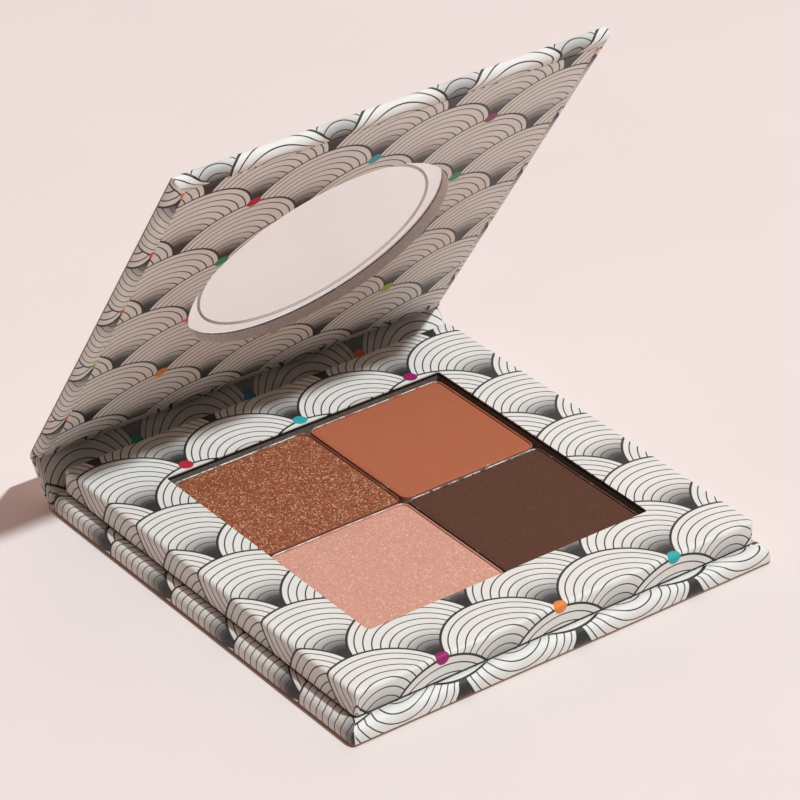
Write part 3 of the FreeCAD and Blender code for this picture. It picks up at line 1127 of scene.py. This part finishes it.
class PALETTE_OT_tray(bpy.types.Operator):
    """Wrap the tray and line its well"""

    bl_idname = "palette.tray"
    bl_label = "Tray"
    bl_options = {"REGISTER", "UNDO"}

    def execute(self, context):
        tray, paper = context.scene.palette_tray, context.scene.palette_paper
        self.cover(context.scene, tray, paper)
        self.lining(tray, paper)
        dress(frame["nodes"]["magnet_sheet"], magnet_rubber())
        plated = nickel()
        for name in ("tray_magnets", "lid_magnets"):
            dress(frame["nodes"][name], plated)
        return {"FINISHED"}

    def cover(self, scene, tray, paper):
        """Paper over the tray: flat from the well's edge, over the rounded top edge and down.

        At the tray's foot it turns in to a square groove, painted there with a dark shade colour.
        """
        bend, gauge, bottom, top = tray.edge_radius, paper.paper, tray_low[2], tray_high[2]
        rim, normals = outline(tray_low, tray_high, tray.corner_radius)
        waver = wander(len(rim), seed=5)[:, None] * scene.palette_case.unevenness
        well, _ = outline(well_low, well_high, tray.well_corner_radius, gauge)
        start, _ = outline(tray_low, tray_high, tray.corner_radius, bend)
        loops, papers, wear = [], [], []
        for offset in (0.0, gauge):
            skin = flats(well, start, top - offset, (0, 0.02, 0.3, 0.6, 0.97))
            places = plans(skin)
            rubbed = [0.0] * len(skin)
            edge = quarter((bend, top - offset), (offset, top - bend), True)
            brink, sunk = bottom + tray.groove_height, max(offset, tray.groove_depth)
            side = np.linspace(edge[-1], (offset, brink), 5)[1:]
            roof = brink - tray.groove_ease
            rows = np.concatenate([edge, side, [(offset, roof), (sunk, roof), (sunk, bottom)]])
            for (inset, z), way in zip(rows, along(rows)):
                points, _ = outline(tray_low, tray_high, tray.corner_radius, inset)
                firm = np.clip((z - bottom) / (top - bottom), 0, 1)
                skin.append(raised(points - normals * waver * firm, z))
                places.append(rim + normals * (way - bend))
                # Below the groove's brim the paper takes the painted shade colour
                rubbed.append(groove_shade_wear * (z < brink))
            order = 1 if offset == 0.0 else -1
            loops += skin[::order]
            papers += places[::order]
            wear += rubbed[::order]
        piece = lay_mesh("tray_cover", loops, papers, np.array(wear)[:, None], ring=True)
        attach(dress(piece, paper_of(scene)), "base")
        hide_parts("tray_wrap")

    def lining(self, tray, paper):
        """Thin lining of the well: down its walls, over its floor and back up outside."""
        gauge, top, bottom = paper.paper, tray_high[2] - paper.paper, well_low[2]
        wall, _ = outline(well_low, well_high, tray.well_corner_radius, gauge)
        back, _ = outline(well_low, well_high, tray.well_corner_radius)
        loops = [raised(middle_of(wall), bottom), raised(back, bottom), raised(back, top)]
        loops += [raised(wall, z) for z in np.linspace(top, bottom + gauge, 6)]
        loops.append(raised(middle_of(wall), bottom + gauge))
        piece = lay_mesh("well_lining", loops)
        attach(dress(piece, well_board(tray_high[2] - tray.black_depth)), "base")
        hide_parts("well_liner")


class PALETTE_OT_pans(bpy.types.Operator):
    """Draw the four tin pans with rounded rims and bases"""

    bl_idname = "palette.pans"
    bl_label = "Pans"
    bl_options = {"REGISTER", "UNDO"}

    def execute(self, context):
        pans, powders = context.scene.palette_pans, context.scene.palette_powders
        for seed, shade in enumerate(shades, pan_seed):
            low, high = np.array(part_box(shade + "_pan"))
            tin = dusted_tin(shade + "_tin", pans.tin_colour, getattr(powders, shade), high)
            piece = lay_mesh(shade + "_tin_pan", self.drawn(pans, low, high, seed))
            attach(dress(piece, tin), shade + "_refill")
            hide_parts(shade + "_pan")
        return {"FINISHED"}

    @staticmethod
    def drawn(pans, low, high, seed):
        """Loops up a pan's outside, over a half-round, dented lip and down its inside."""
        wall, base, lip = pans.wall, pans.base_radius, pans.wall / 2
        floor = low[2] + wall
        turn = np.linspace(0, np.pi, 9)
        rows = np.concatenate([
            quarter((base, low[2]), (0, low[2] + base), True),
            np.column_stack([lip * (1 - np.cos(turn)), high[2] - lip + lip * np.sin(turn)]),
            quarter((wall, floor + base - wall), (base, floor), False),
        ])
        rim, _ = outline(low, high, pans.corner_radius)
        dents = wander(len(rim), seed, (3, 8, 17, 29)) * pans.dents
        loops = [raised(middle_of(rim), low[2])]
        for inset, z in rows:
            points, _ = outline(low, high, pans.corner_radius, inset)
            loops.append(raised(points, z - dents * np.clip((z - floor) / (high[2] - floor), 0, 1)))
        return loops + [raised(middle_of(rim), floor)]


class PALETTE_OT_powders(bpy.types.Operator):
    """Press the four powders into their pans"""

    bl_idname = "palette.powders"
    bl_label = "Powders"
    bl_options = {"REGISTER", "UNDO"}

    # How each powder looks: its flecks' colour, how bright the dull ones are, their share, lean,
    # metal and number, the press mark and the grain
    looks = {
        "rose": dict(
            fleck=(1.0, 0.66, 0.52), dull=1.12, share=0.40, lean=0.30,
            metal=0.10, flecks_per_mm=5.5, press=0.10, grain=0.05,
        ),
        "brown": dict(
            fleck=(0.15, 0.07, 0.045), dull=1.15, share=0.04, lean=0.10,
            metal=0.05, flecks_per_mm=5.0, press=0.55, grain=0.28,
        ),
        "bronze": dict(
            fleck=(1.0, 0.62, 0.37), dull=1.6, share=0.50, lean=0.45,
            metal=0.15, flecks_per_mm=5.0, press=0.0, grain=0.22,
        ),
        "terracotta": dict(
            fleck=(0.48, 0.15, 0.075), dull=1.06, share=0.05, lean=0.10,
            metal=0.05, flecks_per_mm=5.0, press=0.35, grain=0.05,
        ),
    }

    def execute(self, context):
        powders, pans = context.scene.palette_powders, context.scene.palette_pans
        for seed, shade in enumerate(shades, cake_seed):
            low, high = np.array(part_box(shade + "_powder"))
            cake = self.pressed(powders, pans, low, high, seed)
            piece = lay_mesh(shade + "_cake", cake, sharp=60)
            powder, look = getattr(powders, shade), self.looks[shade]
            material = pressed_powder(shade + "_pressed", powder, look)
            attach(dress(piece, material), shade + "_refill")
            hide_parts(shade + "_powder")
        return {"FINISHED"}

    def pressed(self, powders, pans, low, high, seed):
        """Loops from a cake's underside round its foot and shoulder to the middle of its face.

        The face's relief sets in over the first sixth of the way to the middle.
        """
        corner, foot_radius = pans.corner_radius - pans.wall, pans.base_radius - pans.wall
        fit, crest = powders.fit, high[2]
        rows = np.concatenate([
            quarter((foot_radius, low[2] + fit), (fit, low[2] + foot_radius), True),
            quarter((fit, crest - powders.shoulder_drop), (powders.shoulder, crest), False),
        ])
        loops = [raised(outline(low, high, corner, inset)[0], z) for inset, z in rows]
        brink = loops[-1][:, :2]
        for share in np.linspace(0, 1, 26)[1:]:
            plan = brink + share * (middle_of(brink) - brink)
            sunk = self.relief(plan, seed) * powders.relief * min(share * 6, 1)
            loops.append(raised(plan, crest - sunk))
        return [raised(middle_of(brink), low[2] + fit)] + loops

    @staticmethod
    def relief(plan, seed):
        """Unevenness from 0 to 1 over a plan: a sum of sines in turned directions."""
        draw, waves = np.random.RandomState(seed), (0.35, 0.7, 1.1)
        height = np.zeros(len(plan))
        for wave in waves:
            direction, phase = draw.uniform(0, 2 * np.pi, 2)
            way = plan @ np.array([math.cos(direction), math.sin(direction)])
            height += np.sin(way / mm * wave + phase)
        return height / (2 * len(waves)) + 0.5


class PALETTE_OT_stage(bpy.types.Operator):
    """Lay the floor, set the lamps and place the camera"""

    bl_idname = "palette.stage"
    bl_label = "Stage"
    bl_options = {"REGISTER", "UNDO"}

    def execute(self, context):
        scene, stage = context.scene, context.scene.palette_stage
        scene.view_settings.view_transform = "Standard"
        self.floor(stage)
        self.world(scene, stage)
        self.lamp(scene, stage)
        self.camera(scene, stage)
        return {"FINISHED"}

    def floor(self, stage):
        """Flat grid just under the object."""
        side = np.linspace(-stage.floor_reach, stage.floor_reach, 13)
        x, y = np.meshgrid(side, side)
        rows = np.stack([x, y, np.full_like(x, -stage.floor_gap)], -1)
        ground = lay_mesh("floor", rows, closed=False)
        ground.data.materials.append(floor_paper(stage))

    def world(self, scene, stage):
        """Light from all round, from a bright side to a dim one; plain floor colour to the eye."""
        scene.world = bpy.data.worlds.new("studio")
        scene.world.use_nodes = True
        tree = scene.world.node_tree
        background = next(node for node in tree.nodes if node.type == "BACKGROUND")
        sky = tree.nodes.new("ShaderNodeTexCoord").outputs["Generated"]
        aim = Vector(stage.fill_direction).normalized()
        towards = combined(tree, "ShaderNodeVectorMath", "DOT_PRODUCT", (Signal(sky), aim))
        share = ranged(Signal(towards.outputs["Value"]), 0.2, 1.0)
        light = mixed(share, stage.dim_colour, stage.fill_colour)
        path = tree.nodes.new("ShaderNodeLightPath")
        kinds = ("Camera", "Glossy", "Transmission")
        straight, mirrored, passed = (Signal(path.outputs[f"Is {kind} Ray"]) for kind in kinds)
        seen = straight.math("MAXIMUM", mirrored).math("MAXIMUM", passed)
        feed(background.inputs["Color"], mixed(seen, light, stage.floor_colour))

    def lamp(self, scene, stage):
        """Round lamp that faces the object from its direction."""
        data = bpy.data.lights.new("key", "AREA")
        data.shape, data.size = "DISK", stage.key_size
        data.energy, data.color = stage.key_power, stage.key_colour
        lamp = bpy.data.objects.new("key", data)
        scene.collection.objects.link(lamp)
        direction = Vector(stage.key_direction).normalized()
        lamp.location = direction * stage.key_distance
        lamp.rotation_mode = "QUATERNION"
        lamp.rotation_quaternion = direction.to_track_quat("Z", "Y")

    def camera(self, scene, stage):
        """The camera looks back along its azimuth and elevation, then rolls about its own axis."""
        azimuth, elevation = stage.azimuth, stage.elevation
        level = math.cos(elevation)
        back = Vector((math.sin(azimuth) * level, -math.cos(azimuth) * level, math.sin(elevation)))
        right = (-back).cross(Vector((0, 0, 1))).normalized()
        up = right.cross(-back)
        cos, sin = math.cos(stage.roll), math.sin(stage.roll)
        columns = (right * cos + up * sin, up * cos - right * sin, back)
        turn = Matrix([[column[row] for column in columns] for row in range(3)])
        data = bpy.data.cameras.new("camera")
        data.lens, data.clip_start = stage.focal_length, 0.01
        camera = bpy.data.objects.new("camera", data)
        scene.collection.objects.link(camera)
        place = Vector(stage.target) + back * stage.distance
        camera.matrix_world = Matrix.Translation(place) @ turn.to_4x4()
        scene.camera = camera


class PALETTE_PT_tools(bpy.types.Panel):
    """Lists the palette's operators"""

    bl_label = "Palette"
    bl_idname = "PALETTE_PT_tools"
    bl_space_type = "VIEW_3D"
    bl_region_type = "UI"
    bl_category = "Palette"

    def draw(self, context):
        for operator in operators:
            self.layout.operator(operator.bl_idname)


groups = {
    "palette_paper": PaperSettings,
    "palette_case": CaseSettings,
    "palette_tray": TraySettings,
    "palette_window": WindowSettings,
    "palette_pans": PanSettings,
    "palette_powders": PowderSettings,
    "palette_stage": StageSettings,
}
operators = (
    PALETTE_OT_base,
    PALETTE_OT_tray,
    PALETTE_OT_spine,
    PALETTE_OT_lid,
    PALETTE_OT_window,
    PALETTE_OT_pans,
    PALETTE_OT_powders,
    PALETTE_OT_stage,
)


def register():
    """Registers the settings, the operators and the panel."""
    for name, group in groups.items():
        bpy.utils.register_class(group)
        setattr(bpy.types.Scene, name, PointerProperty(type=group))
    for operator in operators:
        bpy.utils.register_class(operator)
    bpy.utils.register_class(PALETTE_PT_tools)


def unregister():
    """Takes back what register added."""
    bpy.utils.unregister_class(PALETTE_PT_tools)
    for operator in reversed(operators):
        bpy.utils.unregister_class(operator)
    for name, group in reversed(groups.items()):
        delattr(bpy.types.Scene, name)
        bpy.utils.unregister_class(group)


def main():
    """Builds the palette and its stage."""
    register()
    for operator in operators:
        group, name = operator.bl_idname.split(".")
        getattr(getattr(bpy.ops, group), name)()


if __name__ == "__main__":
    main()
